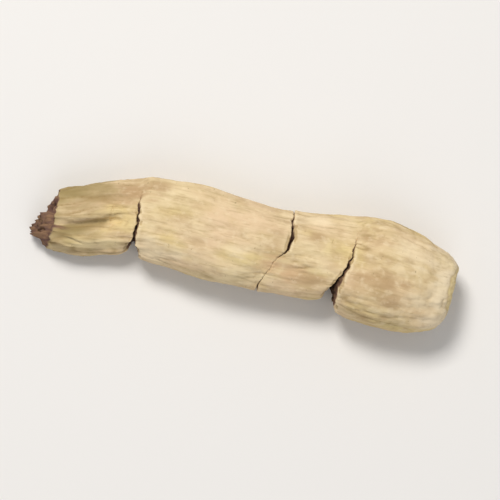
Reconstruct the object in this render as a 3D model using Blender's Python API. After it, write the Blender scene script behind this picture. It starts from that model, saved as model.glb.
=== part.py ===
"""One piece of dried morinda root, lying on its flat side.

The root runs along X: a thin, shrivelled, broken end at -X and a thick cut end at +X. Y is across it
and Z is up. The origin is under its middle, on the surface that it rests on. Sizes are in millimetres
until a point of the skin is placed, and angles are in degrees round the root, from +Y over the top.
"""

import math

import bmesh
import bpy
from mathutils import Vector, noise

METRES = 0.001

# Driving dimensions.
LEFT_END = -22.3
RIGHT_END = 23.0
CORE_RADIUS = 1.35
UNDERSIDE_PRESS = 0.32
FLAT_WITHIN = 0.03
ROUNDNESS = 2.25
MEAN_RADIUS = 5.0

# The root's run and girth: place along X, sideways bend, half width, half height, underside lift.
STATIONS = (
    (-23.0, -0.70, 2.75, 1.95, 0.75),
    (-20.8, -0.25, 3.50, 2.40, 0.30),
    (-18.0, 0.20, 3.85, 2.80, 0.05),
    (-15.2, 1.00, 4.05, 2.95, 0.0),
    (-13.4, 1.35, 4.20, 3.05, 0.0),
    (-12.4, 1.35, 4.45, 3.40, 0.0),
    (-10.0, 1.20, 4.50, 3.65, 0.0),
    (-5.0, 0.95, 4.80, 3.85, 0.12),
    (0.0, 0.55, 4.80, 3.80, 0.30),
    (4.0, 0.35, 4.65, 3.70, 0.28),
    (8.0, 0.65, 4.90, 3.80, 0.10),
    (10.1, 0.70, 5.05, 3.90, 0.0),
    (11.3, 0.35, 5.50, 4.30, 0.0),
    (12.6, 0.15, 5.75, 4.50, 0.0),
    (15.0, -0.05, 5.95, 4.65, 0.0),
    (18.3, -0.38, 5.50, 4.35, 0.10),
    (20.8, -0.62, 4.60, 3.65, 0.55),
    (23.0, -0.75, 3.70, 3.00, 1.0),
)

# Cracks across the bark. Each turn is: angle, shift along X, half width, depth.
CRACKS = {
    "neck": {
        "place": -12.9,
        "turns": (
            (20, 0.35, 0.10, 0.12),
            (62, 0.10, 0.16, 0.55),
            (90, 0.00, 0.22, 0.85),
            (125, -0.05, 0.28, 1.05),
            (155, 0.10, 0.55, 1.55),
            (185, 0.20, 0.85, 2.15),
            (225, 0.50, 0.50, 1.30),
            (270, 0.90, 0.22, 0.70),
            (320, 0.80, 0.12, 0.25),
        ),
    },
    "middle": {
        "place": 3.9,
        "turns": (
            (0, 0.30, 0.20, 0.80),
            (35, 0.15, 0.22, 0.95),
            (70, 0.05, 0.20, 0.90),
            (88, -0.10, 0.16, 0.60),
            (102, -0.90, 0.08, 0.15),
            (125, -2.10, 0.09, 0.20),
            (165, -2.60, 0.30, 0.70),
            (205, -2.20, 0.25, 0.60),
            (265, -0.80, 0.12, 0.25),
            (320, 0.30, 0.22, 0.90),
        ),
    },
    "shoulder": {
        "place": 10.6,
        "turns": (
            (10, 0.90, 0.07, 0.05),
            (48, 0.75, 0.10, 0.20),
            (75, 0.35, 0.17, 0.60),
            (100, -0.20, 0.24, 0.95),
            (130, -1.00, 0.36, 1.40),
            (160, -1.20, 0.70, 2.10),
            (185, -1.20, 1.00, 2.80),
            (215, -1.00, 0.60, 1.80),
            (255, -0.70, 0.25, 0.90),
            (310, 0.30, 0.10, 0.15),
        ),
    },
}
CRACK_REACH = 3.4
CRACK_WALL_CURVE = 1.6
LIP_RISE = 0.20
LIP_SPREAD = 0.75
# A crack's line strays from its run by two waves: how far round the root one reaches, how far it strays.
CRACK_JAGS = ((0.8, 0.16), (0.3, 0.07))
# The depth at which a crack's wall has lost the bark's wrinkles.
BARK_DEPTH = 0.9

# Furrows that shrinking left along the thin end: angle, depth, half width as an angle.
THIN_END_FURROWS = (
    (46, 0.30, 9),
    (102, 1.00, 11),
    (163, 0.55, 10),
    (214, 0.60, 12),
    (292, 0.70, 13),
    (352, 0.50, 11),
)
FURROWS_START = -12.9
FURROWS_FULL = -15.5
FURROW_WANDER = {"length": 4.5, "angle": 14}

# Uneven growth and shrinkage: a mark's length along the root, width across it, height, and noise seed.
LUMPS = (7.5, 4.2, 0.38, 3.1)
LOBES = (16.0, 2.8, 0.28, 8.7)
COARSE_WRINKLES = (8.5, 1.9, 0.52, 17.3)
FINE_WRINKLES = (4.6, 1.05, 0.24, 41.9)
# Where the wrinkles are strong, and how far they drift round the root, in degrees.
WRINKLE_PATCHES = (9.0, 4.0, 1.0, 61.0)
WRINKLE_DRIFT = (5.0, 4.8, 9.0, 0.5)
# Folded noise has this mean for each unit of height.
FOLD_MEAN = 0.2

# A scar where a rootlet broke off, on the far flank.
SCAR = {"place": -5.5, "angle": -32, "radius": 0.85, "depth": 0.32}
SCAR_PIT = 0.6
SCAR_RING = {"at": 1.1, "half_width": 0.45, "share": 0.9}

# Ends: how far the rim is rounded and the face domed, how deep the bark is dished between rim and core,
# how far the core stands back, how ragged the break is, and how the face slants with Y and with Z.
CUT_END = {"rim": 2.1, "dome": 0.6, "dish": 0.45, "core": 0.2, "ragged": 0.12, "slant": (0.10, 0.0)}
BROKEN_END = {"rim": 0.5, "dome": 0.0, "dish": 1.0, "core": 0.3, "ragged": 0.75, "slant": (-0.08, -0.36)}
RIM_SHARE = 0.3
# How far the sides lean in where a rim's round starts, as an angle.
RIM_LEAN = 22
CORE_GAP = {"out": 0.30, "half_width": 0.32, "depth": 0.40}
CORE_UNEVENNESS = 0.3
# The roughness of a break: the size of its lumps and their share of the raggedness.
TORN_LUMPS = ((1.5, 1.0), (0.6, 0.5))

# Fineness of the skin before it is thinned, and the number of triangles that stay.
AROUND = 256
CAP_RINGS = 34
PLAIN_STEP = 0.22
CRACK_STEP = 0.06
TRIANGLES_KEPT = 9400

BARK_COLOUR = (0.60, 0.47, 0.29, 1.0)
BARK_ROUGHNESS = 0.9


def smoothstep(low, high, value):
    """0 below low and 1 above high, with a smooth rise between them. High may be the smaller."""
    share = min(1.0, max(0.0, (value - low) / (high - low)))
    return share * share * (3 - 2 * share)


def angle_between(angle, other):
    """The turn from one angle to another, from -180 to 180."""
    return (angle - other + 180) % 360 - 180


def smooth_row(rows, value):
    """The row of a table at a value of its first column, on a smooth curve through its rows."""
    last = len(rows) - 2
    at = next((i for i in range(last) if value < rows[i + 1][0]), last)
    before, start, end, after = (rows[min(max(i, 0), last + 1)] for i in range(at - 1, at + 3))
    span = end[0] - start[0]
    share = min(1.0, max(0.0, (value - start[0]) / span))
    square, cube = share**2, share**3

    def column(n):
        slope_in = (end[n] - before[n]) / (end[0] - before[0]) * span
        slope_out = (after[n] - start[n]) / (after[0] - start[0]) * span
        return (
            (2 * cube - 3 * square + 1) * start[n]
            + (cube - 2 * square + share) * slope_in
            + (3 * square - 2 * cube) * end[n]
            + (cube - square) * slope_out
        )

    return [column(n) for n in range(1, len(start))]


def crack_table():
    """Each crack's shift, half width and depth at every angle of the skin, joined up round the root."""
    table = {}
    for name, crack in CRACKS.items():
        turns = crack["turns"]
        first, last = turns[0], turns[-1]
        closed = ((last[0] - 360, *last[1:]), *turns, (first[0] + 360, *first[1:]))
        table[name] = [smooth_row(closed, 360 * i / AROUND) for i in range(AROUND)]
    return table


def noise_round(along, angle, width, seed):
    """Noise on the root's skin, the same at 0 and 360 degrees: width is one mark's size round the root."""
    turn = math.radians(angle)
    girth = MEAN_RADIUS / width
    return noise.noise(Vector((along + seed, girth * math.cos(turn), girth * math.sin(turn))))


def grain(along, angle, mark):
    """Noise that runs along the root, from marks of one length, width and height."""
    length, width, height, seed = mark
    return height * noise_round(along / length, angle, width, seed)


def folded_grain(along, angle, mark):
    """Rounded ridges with sharp creases between them, as high above their mean as below it."""
    return abs(grain(along, angle, mark)) - FOLD_MEAN * mark[2]


def crack_depth(across, half_width, depth):
    """How far a crack sinks the skin, and raises its lips, at a distance across it."""
    ratio = abs(across) / half_width
    if ratio < 1:
        return depth * (1 - ratio**CRACK_WALL_CURVE)
    lip = (abs(across) - half_width) / LIP_SPREAD
    if lip > 3:
        return 0.0
    return -LIP_RISE * smoothstep(0, 0.8, depth) * lip * math.exp(1 - 2.2 * lip)


def cracks_depth(along, angle, marks):
    """How far all the cracks sink the skin: marks are their shift, half width and depth there."""
    total = 0.0
    for name, (shift, half_width, depth) in marks.items():
        place = CRACKS[name]["place"]
        jag = sum(far * noise_round(place, angle, reach, far) for reach, far in CRACK_JAGS)
        total += crack_depth(along - place - shift - jag, max(half_width, 0.05), max(depth, 0.0))
    return total


def furrow_depth(along, angle):
    """How deep the thin end's furrows are."""
    reach = smoothstep(FURROWS_START, FURROWS_FULL, along)
    if reach == 0:
        return 0.0
    total = 0.0
    for place, depth, spread in THIN_END_FURROWS:
        wander = noise.noise(Vector((along / FURROW_WANDER["length"], place, 0)))
        middle = place + FURROW_WANDER["angle"] * wander
        total += depth * math.exp(-((angle_between(angle, middle) / spread) ** 2))
    return reach * total


def scar_depth(along, angle, radius):
    """A rootlet scar: a low ring round a small pit."""
    across = math.radians(angle_between(angle, SCAR["angle"])) * radius
    ratio = math.hypot(along - SCAR["place"], across) / SCAR["radius"]
    pit = math.exp(-((ratio / SCAR_PIT) ** 2))
    ring = math.exp(-(((ratio - SCAR_RING["at"]) / SCAR_RING["half_width"]) ** 2))
    return SCAR["depth"] * (pit - SCAR_RING["share"] * ring)


def section_radius(half_width, half_height, along, angle):
    """The root's radius at an angle: a flattened round, a little lobed, with soft lumps."""
    turn = math.radians(angle)
    wide = abs(math.cos(turn) / half_width) ** ROUNDNESS
    high = abs(math.sin(turn) / half_height) ** ROUNDNESS
    return (wide + high) ** (-1 / ROUNDNESS) + grain(along, angle, LUMPS) + grain(along, angle, LOBES)


def wrinkle_height(along, angle):
    """Wrinkles that shrinking left along the root: strongest at the thin end, and in patches."""
    drift = angle + grain(along, angle, WRINKLE_DRIFT)
    ridges = folded_grain(along, drift, COARSE_WRINKLES) + folded_grain(along, drift, FINE_WRINKLES)
    patches = smoothstep(-0.1, 0.5, grain(along, angle, WRINKLE_PATCHES))
    return ridges * (0.55 + 0.75 * smoothstep(-9, -16, along) + 0.35 * patches)


def ring_places():
    """Where the skin's rings stand along X: close together at the cracks, further apart between."""
    round_share = 1 - math.sin(math.radians(RIM_LEAN))
    start = LEFT_END + BROKEN_END["rim"] * round_share
    end = RIGHT_END - CUT_END["rim"] * round_share - CUT_END["dome"]
    places = [start]
    while places[-1] < end:
        away = min(abs(places[-1] - crack["place"]) for crack in CRACKS.values())
        places.append(places[-1] + CRACK_STEP + (PLAIN_STEP - CRACK_STEP) * smoothstep(0.9, 2.2, away))
    places[-1] = end
    return places


def side_point(base, index, cracks):
    """The skin's point on a ring: base is the ring's place, index counts round the root."""
    angle = 360 * index / AROUND
    marks = {name: table[index] for name, table in cracks.items()}
    along = base
    for name, (shift, _, _) in marks.items():
        along += shift * math.exp(-(((base - CRACKS[name]["place"]) / CRACK_REACH) ** 2))
    bend, half_width, half_height, lift = smooth_row(STATIONS, base)
    sunk = cracks_depth(along, angle, marks)
    bark = 1 - smoothstep(0, BARK_DEPTH, sunk)
    radius = section_radius(half_width, half_height, along, angle) - furrow_depth(along, angle)
    radius += bark * wrinkle_height(along, angle) - scar_depth(along, angle, radius)
    radius = max(radius - sunk, CORE_RADIUS)
    turn = math.radians(angle)
    middle = half_height + lift - UNDERSIDE_PRESS
    return Vector((along, bend + radius * math.cos(turn), middle + radius * math.sin(turn)))


def end_point(rim, centre, outward, share, end):
    """A point of an end face: share runs from 0 at the rim's outer edge to 1 at the centre."""
    spoke = rim - centre
    on_rim = min(1.0, share / RIM_SHARE)
    inward = max(0.0, (share - RIM_SHARE) / (1 - RIM_SHARE))
    lean = math.radians(RIM_LEAN)
    turned = lean + on_rim * (math.pi / 2 - lean)
    across = (spoke.length - end["rim"] * (math.cos(lean) - math.cos(turned))) * (1 - inward)
    point = centre + spoke.normalized() * across
    face = Vector((point.y, point.z, 0))
    torn = sum(part * noise.noise(face / size + Vector((0, 0, outward * 3))) for size, part in TORN_LUMPS)
    edge = CORE_RADIUS * (1 + CORE_UNEVENNESS * noise.noise(spoke.normalized() * 1.7))
    core = smoothstep(edge + 0.25, edge - 0.1, across)
    gap = CORE_GAP["depth"] * math.exp(-(((across - edge - CORE_GAP["out"]) / CORE_GAP["half_width"]) ** 2))
    rise = end["rim"] * (math.sin(turned) - math.sin(lean)) - end["core"] * core
    rise += end["dome"] * (1 - (across / spoke.length) ** 2)
    rise -= (end["dish"] * (1 - core) + gap) * smoothstep(0.0, 0.35, inward)
    rise += on_rim * end["ragged"] * torn * (1 - 0.7 * core)
    rise += on_rim * (end["slant"][0] * (point.y - centre.y) + end["slant"][1] * (point.z - centre.z))
    point.x = centre.x + outward * rise
    return point


def skin_rings(cracks):
    """Every ring of the skin from the broken end's middle to the cut end's middle."""
    sides = [[side_point(base, i, cracks) for i in range(AROUND)] for base in ring_places()]
    shares = [i / CAP_RINGS for i in range(1, CAP_RINGS + 1)]
    caps = []
    for ring, outward, end in ((sides[0], -1, BROKEN_END), (sides[-1], 1, CUT_END)):
        centre = sum(ring, Vector()) / AROUND
        caps.append([[end_point(rim, centre, outward, share, end) for rim in ring] for share in shares])
    return caps[0][::-1] + sides + caps[1]


def rest_on_floor(point):
    """Presses the underside flat where it meets the surface that the root dried on."""
    return Vector((point.x, point.y, max(point.z, 0.0)))


def build_skin():
    """The root's skin: a ball whose rings are drawn out along the root."""
    rings = skin_rings(crack_table())
    last = len(rings) - 1
    bm = bmesh.new()
    bmesh.ops.create_uvsphere(bm, u_segments=AROUND, v_segments=last, radius=1.0)
    for vertex in bm.verts:
        ring = round(math.acos(max(-1.0, min(1.0, -vertex.co.z))) / math.pi * last)
        index = round(math.degrees(math.atan2(vertex.co.y, vertex.co.x)) / 360 * AROUND) % AROUND
        vertex.co = rest_on_floor(rings[ring][index]) * METRES
    bmesh.ops.recalc_face_normals(bm, faces=bm.faces)
    mesh = bpy.data.meshes.new("morinda_root")
    bm.to_mesh(mesh)
    bm.free()
    return mesh


def thin_skin(root):
    """Leaves as few triangles as the root's shape needs, and flattens the patches that it rests on."""
    thinning = root.modifiers.new("thin the skin", "DECIMATE")
    thinning.ratio = TRIANGLES_KEPT / (2 * len(root.data.polygons))
    thinned = bpy.data.meshes.new_from_object(root.evaluated_get(bpy.context.evaluated_depsgraph_get()))
    root.modifiers.clear()
    full_skin = root.data
    root.data = thinned
    bpy.data.meshes.remove(full_skin)
    for vertex in thinned.vertices:
        if vertex.co.z < FLAT_WITHIN * METRES:
            vertex.co.z = 0.0
    thinned.shade_smooth()


def bark_material():
    """Dull, dry, yellowish grey-brown bark."""
    material = bpy.data.materials.new("dried bark")
    material.use_nodes = True
    shader = material.node_tree.nodes["Principled BSDF"]
    shader.inputs["Base Color"].default_value = BARK_COLOUR
    shader.inputs["Roughness"].default_value = BARK_ROUGHNESS
    shader.inputs["Metallic"].default_value = 0.0
    return material


def main():
    for obj in list(bpy.data.objects):
        bpy.data.objects.remove(obj)
    collection = bpy.data.collections.new("Morinda root")
    bpy.context.scene.collection.children.link(collection)
    root = bpy.data.objects.new("morinda_root", build_skin())
    collection.objects.link(root)
    thin_skin(root)
    root.data.materials.append(bark_material())


main()
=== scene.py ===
"""Looks of a piece of dried morinda root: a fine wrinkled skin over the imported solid, and its bark.

The solid's own mesh is copied, made fine, and carved with the wrinkles, crisp cracks and torn faces
that are too small for the solid. Lengths are in millimetres while the skin is carved, with X along the
root, and angles are in degrees round it, from +Y over the top. A pair of numbers that goes to smoothstep
says where something starts and where it is full.
"""

import math

import bpy
import numpy as np
from mathutils import Matrix, Vector, noise
from mathutils.bvhtree import BVHTree


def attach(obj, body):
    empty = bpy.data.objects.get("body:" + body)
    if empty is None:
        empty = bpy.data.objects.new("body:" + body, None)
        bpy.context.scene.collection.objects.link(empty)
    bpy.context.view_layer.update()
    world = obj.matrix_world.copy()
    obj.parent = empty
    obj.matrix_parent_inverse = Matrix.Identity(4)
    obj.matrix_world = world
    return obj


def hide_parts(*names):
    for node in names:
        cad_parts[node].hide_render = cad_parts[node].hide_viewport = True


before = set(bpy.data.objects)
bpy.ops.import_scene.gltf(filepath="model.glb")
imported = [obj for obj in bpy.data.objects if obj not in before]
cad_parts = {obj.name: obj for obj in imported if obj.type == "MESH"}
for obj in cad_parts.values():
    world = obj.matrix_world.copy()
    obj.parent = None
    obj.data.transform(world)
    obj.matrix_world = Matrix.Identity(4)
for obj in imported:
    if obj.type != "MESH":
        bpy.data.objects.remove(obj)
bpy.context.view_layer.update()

NODE = "morinda_root"
MM = 0.001

# The photo: where its middle and the root's middle are in pixels, and one pixel's size on the root.
PHOTO_MIDDLE = (250, 250)
ROOT_MIDDLE = (302.7, 176.5)
PIXEL_MM = 0.68
# How far the root is turned in the photo, and the camera: its height, the height that it aims at, and the
# widths of what it sees and of its sensor.
ROOT_TURN = 10
CAMERA_HEIGHT = 600
CAMERA_AIM = 4
FRAME_WIDTH = 55
SENSOR = 36

# Softboxes: where they hang in the photo's plane, to its right and up, how high and how wide, in metres,
# and their power in watts.
SOFTBOXES = {
    "key": {"towards": (-0.10, 0.22), "height": 0.42, "size": 0.15, "power": 1.80, "colour": "#FFFCF8"},
    "fill": {"towards": (0.10, -0.35), "height": 0.40, "size": 0.40, "power": 0.62, "colour": "#F6F8FF"},
}
SKY_STRENGTH = 0.36
FLOOR_SIZE = 4.0

# Skin: how close the solid's corners are when they are merged, the grid that the skin is remade on, the
# rounds of smoothing that take the solid's facets away, and those that follow once the bark is drawn
# level beside the cracks.
MERGED_WITHIN = 0.0005
SKIN_GRID = 0.184
SMOOTHING = 0.5
FACET_ROUNDS = 13
LEVEL_ROUNDS = 3

# The root's middle line: the half length of the slices that it is measured on, and the power of its curve.
MIDDLE_SLICE = 0.9
MIDDLE_POWER = 7

# Cracks across the bark. Each turn is: angle, shift along X, half width, depth.
CRACKS = {
    "neck": {
        "place": -12.9,
        "turns": (
            (30, 0.15, 0.05, 0.00),
            (50, 0.00, 0.07, 0.25),
            (68, -0.03, 0.09, 0.60),
            (92, 0.12, 0.13, 0.90),
            (112, 0.14, 0.13, 0.95),
            (134, 0.12, 0.14, 1.00),
            (146, 0.10, 0.26, 1.30),
            (156, 0.10, 0.58, 1.65),
            (185, 0.20, 0.85, 2.15),
            (225, 0.50, 0.50, 1.30),
            (270, 0.90, 0.20, 0.80),
            (310, 0.80, 0.10, 0.35),
            (340, 0.70, 0.05, 0.00),
        ),
    },
    "middle": {
        "place": 3.9,
        "turns": (
            (0, 0.20, 0.08, 0.60),
            (20, 0.10, 0.06, 0.50),
            (31, 0.12, 0.08, 0.60),
            (45, 0.20, 0.18, 1.00),
            (63, 0.30, 0.20, 1.05),
            (80, 0.22, 0.20, 1.00),
            (92, -0.02, 0.17, 0.85),
            (101, -0.50, 0.08, 0.32),
            (114, -1.10, 0.05, 0.18),
            (143, -2.00, 0.05, 0.22),
            (158, -2.40, 0.09, 0.36),
            (172, -2.60, 0.20, 0.70),
            (205, -2.20, 0.20, 0.70),
            (265, -0.80, 0.10, 0.35),
            (320, 0.30, 0.18, 0.90),
        ),
    },
    "shoulder": {
        "place": 10.6,
        "turns": (
            (20, 0.75, 0.05, 0.00),
            (45, 0.65, 0.06, 0.14),
            (64, 0.47, 0.08, 0.42),
            (81, 0.45, 0.11, 0.80),
            (103, 0.10, 0.13, 1.05),
            (118, -0.38, 0.17, 1.25),
            (133, -0.74, 0.30, 1.50),
            (146, -0.98, 0.50, 1.80),
            (160, -1.15, 0.72, 2.15),
            (185, -1.20, 1.00, 2.80),
            (215, -1.00, 0.60, 1.80),
            (255, -0.70, 0.22, 0.95),
            (300, 0.20, 0.08, 0.25),
            (330, 0.60, 0.05, 0.00),
        ),
    },
    "ring": {
        "place": -15.7,
        "turns": (
            (40, 0.30, 0.10, 0.00),
            (62, 0.05, 0.14, 0.12),
            (92, -0.05, 0.15, 0.14),
            (118, 0.15, 0.13, 0.12),
            (145, 0.35, 0.10, 0.00),
        ),
    },
    "back": {
        "place": -4.6,
        "turns": (
            (205, 0.60, 0.05, 0.00),
            (228, 0.20, 0.07, 0.30),
            (258, 0.00, 0.10, 0.50),
            (292, -0.40, 0.08, 0.40),
            (325, -0.20, 0.06, 0.25),
            (352, 0.30, 0.05, 0.00),
        ),
    },
}
# A crack's line strays from its run by waves: how far round the root one reaches, how far it strays.
CRACK_JAGS = ((0.9, 0.16), (0.35, 0.05), (0.16, 0.02))
MEAN_RADIUS = 5.0
# The width varies by waves too, the more the wider the crack is. The seeds are for the line and the width.
WIDTH_JAG = 3.5
JAG_SEEDS = (0.0, 40.0)
LEAST_WIDTH = 0.03
# The depths of a crack at which the bark beside it is drawn level, curls in, has a lip, and chips.
BESIDE_CRACK = {"level": (0.1, 0.5), "roll": (0.3, 0.9), "lip": (0.2, 0.8), "chip": (0.5, 0.9)}
# Flakes that have chipped off beside a crack: their depth, how far from its edge they reach, and the noise
# that they follow.
CHIP = {"depth": 0.10, "reach": (0.40, 0.20), "flakes": (0.05, 0.30)}
# The bark's edges have curled in and dried round: how deep and how far, at a narrow crack and at a notch.
ROLL_DEPTH = (0.10, 0.75)
ROLL_REACH = (0.7, 1.5)
# Thin lips along a crack's edges: how high they rise, how far out their crest is and how wide they are,
# and how much of them there is on the side of the thin end.
LIP = {"rise": 0.08, "crest": 0.168, "spread": 0.28, "thin_side": 0.55}
# The bark is drawn level this far out from a crack, so that no blurred groove is left there.
CRACK_MARGIN = 0.75
# The skin is made finer near a crack of this depth, and finer still on the steep upper walls of a notch.
FINE_MARGIN = 0.40
FINE_DEPTH = 0.1
NOTCH_WALL = {"depth": 0.9, "from": 0.45, "margin": 0.10}
# The walls' steepness in a narrow crack and in a wide notch, with the half widths where each holds.
WALL_CURVE = (3.0, 1.7)
WALL_WIDTHS = (0.2, 0.7)
# A notch's walls follow its jagged edge at the first share of its half width, and a smooth line from the
# second inwards.
WALL_SMOOTH = (1.0, 0.7)
# How rough a notch's walls are, and from where outwards, as shares of its half width.
WALL_ROUGHNESS = 0.30
WALL_ROUGH_FROM = (0.0, 0.5)
# How far the walls have crumbled along X, and the depths inside a crack where they have.
WALL_GRIT = 0.20
WALL_GRIT_FROM = (0.3, 0.9)
# The depths inside a crack where bark gives way to the inner bark.
HOLLOW = (0.03, 0.42)

# Furrows that shrinking left along the thin end: angle, lean in degrees for each millimetre along X from
# their middle, depth, half width in degrees. The first is the broad dull valley that shows from above, and
# those with a negative depth are ridges beside it.
FURROWS = (
    (118, -4, 0.16, 14),
    (99, -2, -0.20, 10),
    (157, 0, -0.22, 9),
    (57, 0, 0.16, 6),
    (174, 0, 0.18, 7),
    (214, 0, 0.25, 9),
    (292, 0, 0.30, 10),
    (352, 0, 0.20, 8),
)
FURROW_MIDDLE = -18.7
FURROW_WANDER = 5
FURROW_START = (-14.8, -17.0)

# Patterns that follow the grain: one mark's length along X, Y and Z, and a seed.
NOISES = {
    "lumps": ((2.8, 1.8, 1.8), 51.0),
    "small_lumps": ((1.3, 0.9, 0.9), 29.0),
    "patches": ((7.0, 3.0, 3.0), 37.0),
    "streaks": ((3.5, 0.5, 0.5), 19.0),
    "fibres": ((1.6, 0.26, 0.26), 79.0),
    "flakes": ((0.7, 1.1, 1.1), 13.0),
    "ragged": ((0.15, 0.6, 0.6), 83.0),
    "furrow_wander": ((4.5, 40.0, 40.0), 97.0),
    "core_edge": ((9.0, 1.3, 1.3), 91.0),
    "blots": ((1.6, 1.1, 1.1), 7.0),
    "smears": ((2.6, 0.4, 0.4), 39.0),
    "mottle": ((1.3, 0.9, 0.9), 71.0),
    "fine_mottle": ((0.5, 0.45, 0.45), 35.0),
}
# Creases between rounded ridges, and how far they wander off the grain.
CREASES = {
    "coarse": ((9.0, 1.3, 1.3), 11.0),
    "fine": ((5.0, 0.6, 0.6), 23.0),
    "rings": ((0.8, 3.2, 3.2), 43.0),
}
CREASE_SHARPNESS = 9
CREASE_WANDER = {"far": 0.35, "size": (5.0, 2.5, 2.5), "seeds": (3.0, 10.0, 17.0)}
# The roughness of broken faces and the grit on the cracks' walls, which follow no grain.
ROUGH = ((0.42, 0.42, 0.42), 67.0)
GRIT = ((0.5, 0.5, 0.5), 31.0)

# How high each pattern stands: on the bark, in a crack and on an end's face, and as a share of the length
# of the torn core's stub.
BARK_RELIEF = {"lumps": 0.07, "small_lumps": 0.05, "rings": -0.04}
CRACK_RELIEF = {"rough": 0.07, "fibres": 0.06}
FACE_RELIEF = {"rough": 0.08, "fibres": 0.06}
STUB_RELIEF = {"rough": 0.3, "fibres": 0.4}
# How deep the wrinkles are, and how much of them there is: everywhere, in patches, on the thin end.
WRINKLES = {"coarse": 0.12, "fine": 0.085}
WRINKLING = {"least": 0.42, "patches": 0.6, "thin_end": 0.7}
PATCHES = (-0.25, 0.45)

# Where the shrivelled thin end starts, its tip and the thick end.
THIN_END = (-12.9, -15.0)
TIP = (-19.5, -22.0)
THICK_END = (10.5, 12.5)
# Borders between colours of the bark, and the patterns that fray them.
BORDERS = {
    "far_side": ((1.2, 2.6), {"lumps": 0.7, "streaks": 0.5}),
    "weathered_and_valley_shade": ((-13.8, -17.6), {"streaks": 1.6, "lumps": 1.0}),
    # The painted highlight round the thick end's rim.
    "rim": ((19.0, 21.2), {"lumps": 1.3, "streaks": 1.0}),
}
# How dull the thin end's weathering is on its near side, its far side and its tip, and what makes it uneven.
DULL_SIDES = (0.5, 1.0)
DULL_TIP = 0.8
DULL_PATCHES = {"streaks": 0.6, "small_lumps": 0.4}
# Painted shade in the wrinkles and the furrows: how dark it is.
CREASE_SHADE = {"coarse": 0.6, "fine": 0.35}
FURROW_SHADE = 1.2
# Mottles of the thick end: their patterns, and how far from the mean these show as dark or pale ones.
MOTTLES = {"mottle": 1.0, "fine_mottle": 0.5}
MOTTLE_SHOWS = (0.05, 0.65)

# Soft patches on the upper side: X, Y from the root's middle, half length, half width.
# Some kinds are tints of the bark itself, and some are painted light and shade.
STAINS_AND_PAINTED_LIGHT = {
    # Faint darker patches, with painted shade among them beside the shoulder crack and on the thick end's
    # lower side.
    "faint": (
        (12.0, -2.2, 1.3, 1.5),
        (15.4, -2.5, 2.0, 0.8),
        (9.2, -0.8, 1.0, 0.6),
        (2.5, 0.4, 1.1, 1.4),
        (-8.3, 0.4, 1.0, 0.6),
        (-6.2, -1.5, 1.6, 0.6),
    ),
    "pink": (
        (4.7, -2.4, 1.6, 1.0),
        (2.4, -2.0, 1.6, 1.1),
        (-13.7, 2.6, 1.5, 0.9),
    ),
    "dusky": (
        (7.0, -2.8, 1.7, 0.7),
        (17.0, -0.9, 0.8, 0.5),
        (7.0, 2.1, 1.2, 0.7),
        (5.1, 3.7, 0.7, 0.25),
        (14.4, -1.2, 2.0, 1.2),
        (-13.6, 3.0, 1.9, 1.6),
        (-11.0, 3.6, 1.4, 0.9),
        (12.4, 3.0, 0.8, 0.5),
        (15.4, -3.4, 1.5, 0.6),
    ),
    # Painted highlights on lit ridges and edges and on the rounded thick end.
    "pale": (
        (6.6, 3.9, 2.4, 0.7),
        (17.6, 2.8, 2.4, 1.4),
        (-10.4, -3.7, 2.2, 1.0),
        (-8.0, -3.4, 1.3, 0.7),
        (-11.3, -2.5, 0.9, 0.8),
        (-1.8, -1.3, 1.5, 0.6),
        (18.9, -2.2, 1.5, 1.0),
        (20.9, -1.3, 1.2, 1.7),
    ),
    # Straw yellow, and painted light on the thin end's low ridge.
    "straw": (
        (-18.3, -3.5, 2.2, 0.7),
        (-15.5, -3.2, 1.5, 0.6),
    ),
    # Olive on the thin end's top, and painted shade in its valley.
    "olive_and_valley_shade": (
        (-20.5, 3.0, 2.0, 1.1),
        (-19.4, -1.5, 2.0, 0.7),
    ),
}
# The patterns that fray the soft patches, how much these also fade them, and the heights where they show.
STAIN_AND_LIGHT_FRAY = {"blots": 0.5, "smears": 0.9}
STAIN_AND_LIGHT_FADE = 0.35
STAIN_AND_LIGHT_HEIGHTS = (-0.5, 1.0)

# Cut end: where its face starts along X and in from its edge, how much a surface of it faces along X, how
# lobed its outline is, and how much of the torn end's relief it has.
CUT_FACE = (21.6, 22.3)
CUT_FACE_RADIUS = (3.3, 2.7)
CUT_FACE_TURN = (0.45, 0.75)
CUT_FACE_LOBES = 0.35
CUT_FACE_WORN = 0.6
# The woody core of both ends: its radius, how wavy its edge is, and how its edge blends.
CORE_RADIUS = 1.25
CORE_WAVES = 0.3
CORE_EDGE = (0.2, -0.1)
# Rays cross the cut face and a ring lies round its core. The rays' noise is read on a circle of the radius
# "waves", so a larger one gives finer rays, and the smaller "outwards" is, the straighter they run.
RAYS = {"waves": 8.0, "outwards": 0.4, "strength": 0.8, "ring": 0.15, "depth": 0.04}
RAY_NOISE = ((1, 1, 1), 59.0)
# Torn end: the ring that gives the bark's outline, and where the tear starts. What hardly faces outwards
# there is torn, and so is what lies within this share of the outline.
TORN_RING = {"place": -20.5, "half": 0.4, "facing": 0.6}
TORN_FROM = (-19.0, -19.6)
TORN_FACING = (0.55, 0.30)
TORN_SHARE = (0.80, 0.70)
# Where the bark has peeled back, less far on its edge at the photo's top, and how deep. The line is uneven.
PEELED = {"from": -21.8, "over": 0.35, "edge": 0.7, "edge_from": (0.6, 2.0), "depth": 0.12}
PEELED_LINE = {"lumps": 0.5, "small_lumps": 0.4}
# How much is kept of torn pits that go deeper than their floor, and the core, which stands out as a broken
# stub off the middle and hardly shows its paler wood.
TORN_PITS = {"floor": -21.3, "kept": 0.2}
TORN_CORE = {"aside": -0.6, "stub": 1.2, "shows": 0.12}

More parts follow.
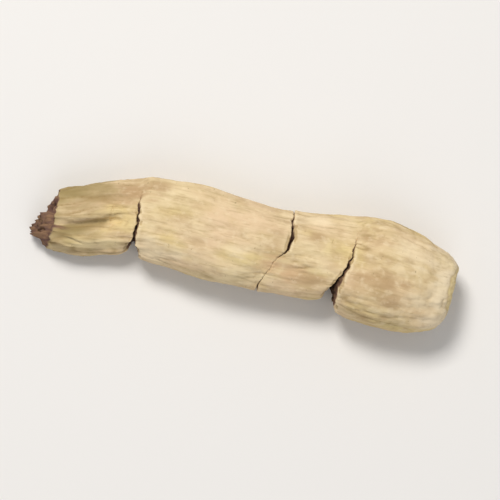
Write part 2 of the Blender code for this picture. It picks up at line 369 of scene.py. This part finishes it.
BARK_COLOURS = {
    "cream": "#E3CEA4",
    "pinkish": "#E0C5A0",
    "tan": "#CCB384",
    "yellow": "#DDC77F",
    "olive": "#AE9B6A",
    # Dull olive of the weather-worn thin end, and painted shade in its valley's bed.
    "weathered_and_valley_shade": "#A08C60",
    # Painted shade in the wrinkles and furrows; also dark streaks, chipped flakes and the cut face's rays.
    "crease": "#A0865A",
    "speck": "#85704E",
    # Painted highlight along the cracks' lips; also pale flecks in the bark.
    "lip": "#F0DDB8",
    "pink": "#C9A57E",
    "dusky": "#B3956E",
    # Painted highlights; also the pale flecks of the thick end.
    "pale": "#F3E0BC",
    # Straw yellow, partly painted light.
    "straw": "#F4DFAE",
    # Olive, partly painted shade in the thin end's valley.
    "olive_and_valley_shade": "#8A7848",
    "inner_bark": "#8A6B52",
    "mauve": "#694E45",
    # Painted shade that darkens deeper into a crack.
    "crack": "#3A2618",
    # Painted highlight round the thick end's rim.
    "rim": "#ECDBBB",
    "flesh": "#E6D2A2",
    "wood": "#C6AB7A",
    "wood_line": "#8F7148",
}

# Grain that is finer than the skin's grid: its marks' length and width, seed, depth and strength.
BARK_GRAIN = (
    ((3.0, 0.38), 85.0, 0.09, 0.60),
    ((0.9, 0.16), 65.0, 0.05, 0.50),
    ((0.12, 0.12), 73.0, 0.03, 0.35),
)
GRAIN_DETAIL = 4.0
GRAIN_ROUGHNESS = 0.6
# Dry cork scatters light widely and has hardly any sheen.
BARK_ROUGHNESS = 0.92
BARK_IOR = 1.45
BARK_SHEEN = 0.25


def smoothstep(low, high, value):
    """0 at low and 1 at high, with a smooth rise between them. High may be the smaller."""
    share = np.clip((value - low) / (high - low), 0.0, 1.0)
    return share * share * (3 - 2 * share)


def bell(value, spread):
    """1 where the value is 0, falling away over the spread on both sides."""
    return np.exp(-((value / spread) ** 2))


def between(pair, share):
    """The value that lies this share of the way from a pair's first number to its second."""
    return pair[0] + share * (pair[1] - pair[0])


def weighed(weights, pattern):
    """The patterns that a table names, each times its number there, added up."""
    return sum(weight * pattern[name] for name, weight in weights.items())


def noise_at(places, size, seed):
    """Smooth noise from -1 to 1 at each place: size is one mark's length along X, Y and Z."""
    spots = (places / np.array(size) + seed).tolist()
    return np.array([noise.noise(spot) for spot in spots])


def creases_at(places, size, seed):
    """Narrow creases between broad rounded ridges: 1 in a crease, 0 on the ridges."""
    return np.exp(-np.abs(noise_at(places, size, seed)) * CREASE_SHARPNESS)


def vertex_values(mesh, name):
    """The vertices' co or normal as an array."""
    values = np.empty(len(mesh.vertices) * 3)
    mesh.vertices.foreach_get(name, values)
    return values.reshape(-1, 3)


def set_places(skin, places):
    """Moves the skin's vertices."""
    skin.data.vertices.foreach_set("co", places.ravel())
    skin.data.update()


def select_only(obj):
    """Makes an object the only one selected, and active, for the operators that follow."""
    bpy.ops.object.select_all(action="DESELECT")
    obj.select_set(True)
    bpy.context.view_layer.objects.active = obj


def apply_modifier(obj, kind, **settings):
    """Adds a modifier with its settings and applies it."""
    select_only(obj)
    modifier = obj.modifiers.new(kind.lower(), kind)
    for name, value in settings.items():
        setattr(modifier, name, value)
    bpy.ops.object.modifier_apply(modifier=modifier.name)


def copy_of_solid():
    """The solid's mesh in an object of its own, in millimetres, with its loose triangles merged."""
    skin = bpy.data.objects.new("root_skin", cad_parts[NODE].data.copy())
    bpy.context.scene.collection.objects.link(skin)
    skin.data.materials.clear()
    skin.data.transform(Matrix.Scale(1 / MM, 4))
    select_only(skin)
    bpy.ops.object.mode_set(mode="EDIT")
    bpy.ops.mesh.select_all(action="SELECT")
    bpy.ops.mesh.remove_doubles(threshold=MERGED_WITHIN)
    bpy.ops.mesh.customdata_custom_splitnormals_clear()
    bpy.ops.object.mode_set(mode="OBJECT")
    return skin


def middle_line(places):
    """Two curves of X: where the root's middle lies in Y and in Z."""
    along = places[:, 0]
    stops = np.arange(math.ceil(along.min()), math.floor(along.max()) + 1)
    slices = [places[np.abs(along - stop) < MIDDLE_SLICE] for stop in stops]
    middles = np.array([(part.min(axis=0) + part.max(axis=0)) / 2 for part in slices])
    return [np.polynomial.Polynomial.fit(stops, middles[:, axis], MIDDLE_POWER) for axis in (1, 2)]


def straightened(places, middle):
    """The places as if the root ran straight along X: its middle line is taken out of Y and Z."""
    along = places[:, 0]
    return np.column_stack([along, places[:, 1] - middle[0](along), places[:, 2] - middle[1](along)])


def angle_round(grain):
    """The angle of each straightened place round the root."""
    return np.degrees(np.arctan2(grain[:, 2], grain[:, 1])) % 360


def crack_runs():
    """Each crack's angles, every half degree round the root, and what it is there.

    That is its middle, half width and depth, and then the middle and half width without their jags.
    """
    angles = np.arange(0, 360, 0.5)
    circle = np.column_stack([np.cos(np.radians(angles)), np.sin(np.radians(angles))])
    runs = []
    for crack in CRACKS.values():
        turns = np.array(crack["turns"])
        middle, width, depth = (np.interp(angles, turns[:, 0], turns[:, n], period=360) for n in (1, 2, 3))
        smooth = (middle + crack["place"], width)
        swing = np.minimum(WIDTH_JAG * width, 1.0)
        for reach, far in CRACK_JAGS:
            start = np.full((len(angles), 1), crack["place"] + far)
            spots = np.hstack([start, circle * MEAN_RADIUS / reach])
            middle = middle + far * noise_at(spots, (1, 1, 1), JAG_SEEDS[0])
            width = width + swing * far * noise_at(spots, (1, 1, 1), JAG_SEEDS[1])
        ragged = (middle + crack["place"], np.maximum(width, LEAST_WIDTH))
        runs.append((angles, *ragged, depth, *smooth))
    return runs


def on_run(run, angle):
    """A crack's values at each angle, in the order in which its run keeps them."""
    return [np.interp(angle, run[0], values, period=360) for values in run[1:]]


def level_beside_cracks(skin, middle, runs):
    """Draws the bark level up to each crack's middle line, at its height a little way from the crack."""
    select_only(skin)
    tree = BVHTree.FromObject(skin, bpy.context.evaluated_depsgraph_get())
    places = vertex_values(skin.data, "co")
    grain = straightened(places, middle)
    angle = angle_round(grain)
    for run in runs:
        at, width, depth = on_run(run, angle)[:3]
        across = grain[:, 0] - at
        held = smoothstep(*BESIDE_CRACK["level"], depth)
        near = np.nonzero((np.abs(across) < width + CRACK_MARGIN) & (held > 0))[0]
        for index in near:
            side = math.copysign(width[index] + CRACK_MARGIN, across[index])
            source = at[index] + side
            turn = math.radians(angle[index])
            out = Vector((0, math.cos(turn), math.sin(turn)))
            start = Vector((source, middle[0](source), middle[1](source)))
            radius = tree.ray_cast(start, out)[3]
            if radius:
                along = places[index, 0]
                level = Vector((along, middle[0](along), middle[1](along))) + out * radius
                places[index] += held[index] * (np.array(level) - places[index])
    set_places(skin, places)


def make_finer(skin, chosen):
    """Subdivides the faces between the chosen vertices."""
    select_only(skin)
    bpy.ops.object.mode_set(mode="EDIT")
    bpy.ops.mesh.select_mode(type="VERT")
    bpy.ops.mesh.select_all(action="DESELECT")
    bpy.ops.object.mode_set(mode="OBJECT")
    skin.data.vertices.foreach_set("select", chosen)
    bpy.ops.object.mode_set(mode="EDIT")
    bpy.ops.mesh.subdivide(number_cuts=1)
    bpy.ops.object.mode_set(mode="OBJECT")


def make_cracks_finer(skin, middle, runs):
    """Subdivides the skin beside the cracks, and once more on the walls of the open notches."""
    for walls_only in (False, True):
        grain = straightened(vertex_values(skin.data, "co"), middle)
        angle = angle_round(grain)
        chosen = np.zeros(len(grain), bool)
        for run in runs:
            at, width, depth = on_run(run, angle)[:3]
            across = np.abs(grain[:, 0] - at)
            if walls_only:
                wall = (across > NOTCH_WALL["from"] * width) & (across < width + NOTCH_WALL["margin"])
                chosen |= wall & (depth > NOTCH_WALL["depth"]) & (width > WALL_WIDTHS[0])
            else:
                chosen |= (across < width + FINE_MARGIN) & (depth > FINE_DEPTH)
        make_finer(skin, chosen)


def keep_value(skin, name, values):
    """Keeps a number or a place for each vertex as an attribute that the bark's material reads."""
    kind = "FLOAT_VECTOR" if values.ndim == 2 else "FLOAT"
    attribute = skin.data.attributes.new(name, kind, "POINT")
    attribute.data.foreach_set("vector" if values.ndim == 2 else "value", values.astype(np.float32).ravel())


class Spots:
    """Where each vertex is and how it faces, before any of them is carved.

    Radius and angle are taken from the root's middle line, out points away from it, and facing is how much
    the surface faces that way.
    """

    def __init__(self, skin, middle):
        self.places = vertex_values(skin.data, "co")
        self.normals = vertex_values(skin.data, "normal")
        self.grain = straightened(self.places, middle)
        self.along = self.grain[:, 0]
        self.angle = angle_round(self.grain)
        self.radius = np.hypot(self.grain[:, 1], self.grain[:, 2])
        self.out = np.column_stack([np.zeros(len(self.grain)), self.grain[:, 1:] / self.radius[:, None]])
        self.facing = (self.normals * self.out).sum(axis=1)


def patterns_at(spots):
    """Every pattern's value at each place, by its name."""
    pattern = {name: noise_at(spots.grain, *NOISES[name]) for name in NOISES}
    wander = [noise_at(spots.grain, CREASE_WANDER["size"], seed) for seed in CREASE_WANDER["seeds"]]
    drift = spots.grain + CREASE_WANDER["far"] * np.column_stack(wander)
    for name in CREASES:
        pattern[name] = creases_at(drift, *CREASES[name])
    pattern["rough"] = noise_at(spots.places, *ROUGH)
    return pattern


def crack_wall(spots, values, open_wide, ragged):
    """How much of a crack's depth each place has: 1 on the crack's line, and 0 from its edge outwards."""
    at, width, _, line, half = values
    share = np.abs(spots.along - at) / width
    inner = np.abs(spots.along - line) / half
    share = share + (inner - share) * open_wide * smoothstep(*WALL_SMOOTH, inner)
    share = share + WALL_ROUGHNESS * open_wide * ragged * smoothstep(*WALL_ROUGH_FROM, share)
    return 1 - np.clip(share, 0.0, 1.0) ** between(WALL_CURVE, open_wide)


def rolled_edge(from_edge, open_wide, depth):
    """How far the curled-in bark is sunk: a quarter round that falls off towards the crack."""
    share = np.clip(from_edge / between(ROLL_REACH, open_wide), 0, 1)
    deepest = between(ROLL_DEPTH, open_wide) * smoothstep(*BESIDE_CRACK["roll"], depth)
    return deepest * (1 - np.sqrt(1 - (1 - share) ** 2))


def carve_cracks(spots, pattern, runs):
    """What the cracks do to each place.

    That is how far it is sunk, how deep inside a crack it is, and how much it is a lip or a chip beside one.
    """
    sunk, inside, lip, chip = (np.zeros(len(spots.along)) for _ in range(4))
    flakes = smoothstep(*CHIP["flakes"], pattern["flakes"])
    for run in runs:
        values = on_run(run, spots.angle)
        at, width, depth, _, half = values
        across = spots.along - at
        from_edge = np.abs(across) - width
        open_wide = smoothstep(*WALL_WIDTHS, half)
        wall = crack_wall(spots, values, open_wide, pattern["ragged"])
        roll = rolled_edge(from_edge, open_wide, depth)
        sunk = np.maximum(sunk, roll + np.maximum(depth - roll, 0) * wall)
        inside = np.maximum(inside, depth * wall)
        crest = bell(from_edge - LIP["crest"], LIP["spread"]) * smoothstep(*BESIDE_CRACK["lip"], depth)
        lip = np.maximum(lip, crest * np.where(across > 0, 1.0, LIP["thin_side"]))
        beside = smoothstep(*CHIP["reach"], from_edge) * smoothstep(*BESIDE_CRACK["chip"], depth)
        chip = np.maximum(chip, beside * flakes)
    return np.maximum(sunk, CHIP["depth"] * chip), inside, lip * (1 - chip), chip


def furrows_of(spots, pattern):
    """How deep the thin end's furrows are at each place, and 1 in the bed of its broad valley."""
    depths = []
    for place, lean, depth, spread in FURROWS:
        away = spots.angle - place - lean * (spots.along - FURROW_MIDDLE)
        away = (away - FURROW_WANDER * pattern["furrow_wander"] + 180) % 360 - 180
        depths.append(depth * bell(away, spread) * smoothstep(*FURROW_START, spots.along))
    return sum(depths), depths[0] / FURROWS[0][2]


def torn_end(spots, pattern):
    """1 inside the torn end, and 1 where the bark has peeled back from its edge."""
    ring = np.abs(spots.along - TORN_RING["place"]) < TORN_RING["half"]
    ring &= spots.facing > TORN_RING["facing"]
    outline = np.interp(spots.angle, spots.angle[ring], spots.radius[ring], period=360)
    inside = smoothstep(*TORN_SHARE, spots.radius / outline)
    inside = np.maximum(smoothstep(*TORN_FACING, spots.facing), inside)
    start = PEELED["from"] - PEELED["edge"] * smoothstep(*PEELED["edge_from"], spots.grain[:, 1])
    start += weighed(PEELED_LINE, pattern)
    peeled = smoothstep(start, start - PEELED["over"], spots.along)
    return inside * smoothstep(*TORN_FROM, spots.along), peeled


def cut_end(spots, pattern):
    """1 on the cut face of the thick end."""
    lobed = spots.radius + CUT_FACE_LOBES * pattern["small_lumps"]
    cut = smoothstep(*CUT_FACE, spots.along) * smoothstep(*CUT_FACE_RADIUS, lobed)
    return cut * smoothstep(*CUT_FACE_TURN, spots.normals[:, 0])


def core_and_rays(spots, pattern, cut, torn):
    """1 on the woody core of both ends, and 1 in the rays of the cut face and the ring round its core."""
    aside = np.hypot(spots.grain[:, 1] - TORN_CORE["aside"], spots.grain[:, 2])
    from_core = np.where(spots.along > 0, spots.radius, aside)
    from_core += CORE_WAVES * pattern["core_edge"] - CORE_RADIUS
    core = np.maximum(cut, torn) * smoothstep(*CORE_EDGE, from_core)
    spokes = np.column_stack([RAYS["outwards"] * spots.radius, RAYS["waves"] * spots.out[:, 1:]])
    rays = RAYS["strength"] * creases_at(spokes, *RAY_NOISE)
    return core, cut * np.maximum(rays, bell(from_core - RAYS["ring"], RAYS["ring"]))


def forms_of(spots, pattern, runs):
    """What each place is part of, from 0 to 1, and how deep the cracks and furrows are there."""
    form = {"thin_end": smoothstep(*THIN_END, spots.along)}
    form["sunk"], form["inside"], form["lip"], form["chip"] = carve_cracks(spots, pattern, runs)
    form["furrows"], form["valley"] = furrows_of(spots, pattern)
    form["torn"], form["peeled"] = torn_end(spots, pattern)
    form["cut"] = cut_end(spots, pattern)
    form["core"], form["rays"] = core_and_rays(spots, pattern, form["cut"], form["torn"])
    form["face"] = np.maximum(np.maximum(form["cut"], form["torn"]), form["peeled"])
    form["hollow"] = smoothstep(*HOLLOW, form["inside"])
    form["bark"] = (1 - form["hollow"]) * (1 - form["face"])
    wrinkling = WRINKLING["least"] + WRINKLING["patches"] * smoothstep(*PATCHES, pattern["patches"])
    form["wrinkling"] = wrinkling + WRINKLING["thin_end"] * form["thin_end"]
    return form


def carved_places(spots, pattern, form):
    """Where the vertices lie once the bark's relief, the cracks and the two ends are carved.

    No crack goes into the woody core, and nothing goes under the floor.
    """
    bark = weighed(BARK_RELIEF, pattern) + LIP["rise"] * form["lip"] - form["furrows"]
    bark -= form["wrinkling"] * weighed(WRINKLES, pattern)
    face = form["face"] * np.where(spots.along > 0, CUT_FACE_WORN, 1.0)
    height = form["bark"] * bark
    height += form["hollow"] * weighed(CRACK_RELIEF, pattern) + face * weighed(FACE_RELIEF, pattern)
    height -= form["peeled"] * (1 - form["torn"]) * PEELED["depth"] + RAYS["depth"] * form["rays"]

    pits = (1 - TORN_PITS["kept"]) * np.maximum(spots.along - TORN_PITS["floor"], 0)
    stub = form["core"] * TORN_CORE["stub"] * (1 + weighed(STUB_RELIEF, pattern))
    places = spots.places + spots.normals * height[:, None]
    places[:, 0] -= form["torn"] * (pits + stub)
    sunk = np.minimum(form["sunk"], np.maximum(spots.radius - CORE_RADIUS, 0.0))
    places -= spots.out * sunk[:, None]
    places[:, 0] += WALL_GRIT * smoothstep(*WALL_GRIT_FROM, form["inside"]) * noise_at(places, *GRIT)
    places[:, 2] = np.maximum(places[:, 2], 0.0)
    return places


def frayed(name, values, pattern):
    """1 past one of the borders between the bark's colours."""
    border, fray = BORDERS[name]
    return smoothstep(*border, values + weighed(fray, pattern))


def stain_and_light_strength(spots, pattern, soft_patches):
    """How strongly the soft patches of one kind, tints and painted light alike, show at each place."""
    strength = np.zeros(len(spots.along))
    fray = weighed(STAIN_AND_LIGHT_FRAY, pattern)
    fade = 1 - STAIN_AND_LIGHT_FADE * np.maximum(fray, 0)
    for x, y, length, width in soft_patches:
        away = ((spots.along - x) / length) ** 2 + ((spots.grain[:, 1] - y) / width) ** 2
        strength = np.maximum(strength, np.exp(-away * (1 + fray)) * fade)
    return strength * smoothstep(*STAIN_AND_LIGHT_HEIGHTS, spots.grain[:, 2])


def looks_of(spots, pattern, form):
    """How much of each colour there is at each place, by the name that the material knows it by."""
    # Painted highlight round the thick end's rim.
    rim = frayed("rim", spots.along, pattern)
    thick_end = smoothstep(*THICK_END, spots.along) * (1 - rim)
    mottle = weighed(MOTTLES, pattern)
    shade = form["wrinkling"] * weighed(CREASE_SHADE, pattern) + FURROW_SHADE * form["furrows"]
    side = between(DULL_SIDES, frayed("far_side", spots.grain[:, 1], pattern))
    # The tip's weathering, and painted shade in the bed of the thin end's valley.
    shrivelled = np.maximum(DULL_TIP * smoothstep(*TIP, spots.along), form["valley"]) * form["thin_end"]
    dull = np.maximum(side * frayed("weathered_and_valley_shade", spots.along, pattern), shrivelled)
    looks = {
        "hollow": form["hollow"],
        # How deep inside a crack: the painted shade of the cracks darkens with it.
        "sunk": form["inside"],
        "face": form["face"],
        "cut": form["cut"],
        "rays": form["rays"],
        "core": form["core"] * np.where(spots.along > 0, 1.0, TORN_CORE["shows"]),
        # Painted shade in the wrinkles and the furrows.
        "crease": form["bark"] * np.clip(shade, 0, 1),
        "chip": form["chip"] * (1 - form["hollow"]),
        # Painted highlight along the cracks' lips.
        "lip": form["lip"] * form["bark"],
        # Painted highlight round the thick end's rim.
        "rim": rim,
        # Dull weathering of the thin end, and painted shade in its valley's bed.
        "weathered_and_valley_shade": dull * (1 + weighed(DULL_PATCHES, pattern)),
        "thick_end": thick_end,
        "mottle": thick_end * smoothstep(*MOTTLE_SHOWS, mottle),
        "flecks": thick_end * smoothstep(*MOTTLE_SHOWS, -mottle),
    }
    for kind, soft_patches in STAINS_AND_PAINTED_LIGHT.items():
        looks[kind] = stain_and_light_strength(spots, pattern, soft_patches)
    return looks


def carve_skin(skin, middle, runs):
    """Carves the cracks and the fine relief, and keeps what the material needs to know of each place."""
    spots = Spots(skin, middle)
    pattern = patterns_at(spots)
    form = forms_of(spots, pattern, runs)
    places = carved_places(spots, pattern, form)
    set_places(skin, places)
    keep_value(skin, "grain", straightened(places, middle))
    for name, values in looks_of(spots, pattern, form).items():
        keep_value(skin, name, values)


def make_skin():
    """The visible root: the solid's shape on a fine even grid, carved."""
    skin = copy_of_solid()
    apply_modifier(skin, "REMESH", mode="VOXEL", voxel_size=SKIN_GRID)
    apply_modifier(skin, "SMOOTH", factor=SMOOTHING, iterations=FACET_ROUNDS)
    middle = middle_line(vertex_values(skin.data, "co"))
    runs = crack_runs()
    level_beside_cracks(skin, middle, runs)
    apply_modifier(skin, "SMOOTH", factor=SMOOTHING, iterations=LEVEL_ROUNDS)
    make_cracks_finer(skin, middle, runs)
    carve_skin(skin, middle, runs)
    skin.data.transform(Matrix.Scale(MM, 4))
    select_only(skin)
    bpy.ops.object.shade_smooth()
    return skin


def linear(hex_colour):
    """An sRGB hex value as the linear colour that Blender's sockets hold."""
    parts = [int(hex_colour[i : i + 2], 16) / 255 for i in (1, 3, 5)]
    return (*[p / 12.92 if p <= 0.04045 else ((p + 0.055) / 1.055) ** 2.4 for p in parts], 1.0)


def node(tree, kind, inputs=(), **settings):
    """Adds a node. Settings are its properties; inputs are its sockets, each linked or set."""
    made = tree.nodes.new(kind)
    for name, value in settings.items():
        setattr(made, name, value)
    for key, value in dict(inputs).items():
        if isinstance(value, bpy.types.NodeSocket):
            tree.links.new(value, made.inputs[key])
        else:
            made.inputs[key].default_value = value
    return made


def painted(tree, under, layers):
    """Paints layers over a colour: each is a colour and how much of it shows at each place."""
    for over, share in layers:
        sides = [linear(BARK_COLOURS[c]) if isinstance(c, str) else c for c in (under, over)]
        # Inputs 0, 6 and 7 of a colour mix are its factor and its two colours.
        mix = node(tree, "ShaderNodeMix", {0: share, 6: sides[0], 7: sides[1]}, data_type="RGBA")
        under = mix.outputs[2]
    return under


def bark_material():
    """Dried morinda bark: cork that dried on the root, so it is dull, dusty and finely grained."""
    material = bpy.data.materials.new("dried_morinda_bark")
    material.use_nodes = True
    tree = material.node_tree
    shader = tree.nodes["Principled BSDF"]
    grain = node(tree, "ShaderNodeAttribute", attribute_name="grain").outputs["Vector"]

    def grained(size, seed, detail, rough=0.5):
        """Noise with marks of this length along the root and width across it, in millimetres."""
        scale = (1 / size[0], 1 / size[1], 1 / size[1])
        place = (seed, seed * 1.7, -seed)
        spot = node(tree, "ShaderNodeMapping", {"Vector": grain, "Location": place, "Scale": scale})
        sockets = {"Vector": spot.outputs[0], "Scale": 1.0, "Detail": detail, "Roughness": rough}
        return node(tree, "ShaderNodeTexNoise", sockets).outputs[0]

    def marks(size, seed, low, high, top, detail=2.0):
        """How much of a layer shows in grained marks: 0 up to low, and rising to top at high."""
        value = grained(size, seed, detail)
        sockets = {"Value": value, "From Min": low, "From Max": high, "To Max": top}
        return node(tree, "ShaderNodeMapRange", sockets, interpolation_type="SMOOTHSTEP").outputs[0]

    def carved(name, low=0.0, high=1.0, top=1.0):
        """How much of a layer shows by a value that the carving kept: 0 up to low, and top at high."""
        value = node(tree, "ShaderNodeAttribute", attribute_name=name).outputs["Fac"]
        sockets = {"Value": value, "From Min": low, "From Max": high, "To Max": top}
        return node(tree, "ShaderNodeMapRange", sockets, interpolation_type="SMOOTHSTEP").outputs[0]

    bark = painted(tree, "cream", (
        ("pinkish", marks((9.0, 4.5), 3.0, 0.35, 0.65, 1.0)),
        ("tan", carved("thick_end", top=0.40)),
        # Painted highlight round the thick end's rim.
        ("rim", carved("rim", top=0.75)),
        ("tan", marks((3.2, 2.0), 9.0, 0.45, 0.70, 0.50, detail=3.0)),
        ("yellow", marks((7.0, 4.0), 17.0, 0.50, 0.72, 0.45)),
        ("olive", marks((4.5, 0.7), 25.0, 0.48, 0.80, 0.35, detail=4.0)),
        ("dusky", marks((1.7, 1.3), 45.0, 0.50, 0.68, 0.30, detail=3.0)),
        # Faint darker patches, partly painted shade beside the shoulder crack.
        ("dusky", carved("faint", top=0.45)),
        ("pink", carved("pink", top=0.75)),
        ("dusky", carved("dusky", top=0.75)),
        ("crease", marks((2.5, 0.25), 33.0, 0.48, 0.80, 0.40, detail=3.0)),
        ("dusky", carved("mottle", top=0.36)),
        ("pale", carved("flecks", top=0.28)),
        ("lip", marks((0.8, 0.6), 61.0, 0.50, 0.75, 0.35, detail=3.0)),
        # Dull weathering of the thin end, and painted shade in its valley's bed.
        ("weathered_and_valley_shade", carved("weathered_and_valley_shade", top=0.80)),
        # Painted shade in the wrinkles and the furrows.
        ("crease", carved("crease", 0.1, 1.0, 0.80)),
        # Painted highlights on lit ridges and edges and on the rounded thick end.
        ("pale", carved("pale", top=0.60)),
        # Straw yellow, and painted light on the thin end's low ridge.
        ("straw", carved("straw", top=0.85)),
        # Olive on the thin end's top, and painted shade in its valley.
        ("olive_and_valley_shade", carved("olive_and_valley_shade", top=0.50)),
        ("crease", carved("chip", top=0.50)),
        ("speck", marks((0.35, 0.5), 41.0, 0.73, 0.80, 0.45, detail=1.0)),
        # Painted highlight along the cracks' lips.
        ("lip", carved("lip", 0.1, 1.6, 0.75)),
    ))
    torn = painted(tree, "inner_bark", (
        ("mauve", marks((1.2, 0.4), 49.0, 0.35, 0.65, 1.0, detail=3.0)),
    ))
    flesh = painted(tree, "flesh", (
        ("yellow", marks((1.5, 1.0), 21.0, 0.40, 0.65, 0.30)),
        ("tan", marks((0.8, 0.5), 77.0, 0.40, 0.70, 0.60, detail=3.0)),
        ("crease", carved("rays", top=0.35)),
    ))
    wood = painted(tree, "wood", (
        ("wood_line", marks((0.8, 0.25), 57.0, 0.40, 0.65, 0.80, detail=3.0)),
    ))
    colour = painted(tree, bark, (
        (torn, carved("hollow")),
        # Painted shade, darker deeper into the cracks.
        ("crack", carved("sunk", 0.2, 1.6, 0.85)),
        (torn, carved("face")),
        (flesh, carved("cut")),
        (wood, carved("core")),
    ))

    relief = None
    for size, seed, depth, strength in BARK_GRAIN:
        height = grained(size, seed, GRAIN_DETAIL, GRAIN_ROUGHNESS)
        sockets = {"Strength": strength, "Distance": depth * MM, "Height": height}
        if relief:
            sockets["Normal"] = relief
        relief = node(tree, "ShaderNodeBump", sockets).outputs[0]
    tree.links.new(colour, shader.inputs["Base Color"])
    tree.links.new(relief, shader.inputs["Normal"])
    shader.inputs["Roughness"].default_value = BARK_ROUGHNESS
    shader.inputs["IOR"].default_value = BARK_IOR
    shader.inputs["Specular IOR Level"].default_value = BARK_SHEEN
    return material


def floor_material():
    """Matt white board: plain, so that the root's own colour and shadow read."""
    material = bpy.data.materials.new("matt_white_board")
    material.use_nodes = True
    shader = material.node_tree.nodes["Principled BSDF"]
    shader.inputs["Base Color"].default_value = linear("#E6E4E1")
    shader.inputs["Roughness"].default_value = 0.85
    return material


def make_floor():
    """A plain pale floor that the root lies on."""
    bpy.ops.object.select_all(action="DESELECT")
    bpy.ops.mesh.primitive_plane_add(size=FLOOR_SIZE, location=(0, 0, 0))
    floor = bpy.context.object
    floor.name = "floor"
    floor.data.materials.append(floor_material())


def image_direction(right, up):
    """So far to the photo's right and so far up in it, as a direction along the floor."""
    turn = math.radians(ROOT_TURN)
    to_right = Vector((math.cos(turn), math.sin(turn), 0))
    to_up = Vector((-math.sin(turn), math.cos(turn), 0))
    return right * to_right + up * to_up


def make_camera():
    """Looks down from over the photo's middle, turned so that the root lies as the photo shows it."""
    across = PHOTO_MIDDLE[0] - ROOT_MIDDLE[0]
    up = ROOT_MIDDLE[1] - PHOTO_MIDDLE[1]
    target = Vector((0, 0, CAMERA_AIM)) * MM
    place = target + (image_direction(across, up) * PIXEL_MM + Vector((0, 0, CAMERA_HEIGHT))) * MM
    camera = bpy.data.objects.new("camera", bpy.data.cameras.new("camera"))
    bpy.context.scene.collection.objects.link(camera)
    back = (place - target).normalized()
    right = image_direction(0, 1).cross(back).normalized()
    camera.matrix_world = Matrix((right, back.cross(right), back)).transposed().to_4x4()
    camera.location = place
    camera.data.sensor_width = SENSOR
    camera.data.lens = SENSOR * (place - target).length / MM / FRAME_WIDTH
    bpy.context.scene.camera = camera


def make_softbox(name, towards, height, size, power, colour):
    """A square soft light that hangs over the floor in a direction of the photo and faces the root."""
    data = bpy.data.lights.new(name, "AREA")
    data.shape = "SQUARE"
    data.size = size
    data.energy = power
    data.color = linear(colour)[:3]
    light = bpy.data.objects.new(name, data)
    bpy.context.scene.collection.objects.link(light)
    light.location = image_direction(*towards) + Vector((0, 0, height))
    light.rotation_euler = light.location.to_track_quat("Z", "Y").to_euler()


def make_light():
    """Soft studio light from above, stronger from the top of the photo."""
    world = bpy.data.worlds.new("studio")
    bpy.context.scene.world = world
    world.use_nodes = True
    background = world.node_tree.nodes["Background"]
    background.inputs["Color"].default_value = linear("#F6F6F6")
    background.inputs["Strength"].default_value = SKY_STRENGTH
    for name, settings in SOFTBOXES.items():
        make_softbox(name, **settings)
    bpy.context.scene.view_settings.view_transform = "Standard"


make_camera()
make_light()
make_floor()
skin = make_skin()
skin.data.materials.append(bark_material())
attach(skin, "root")
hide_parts(NODE)
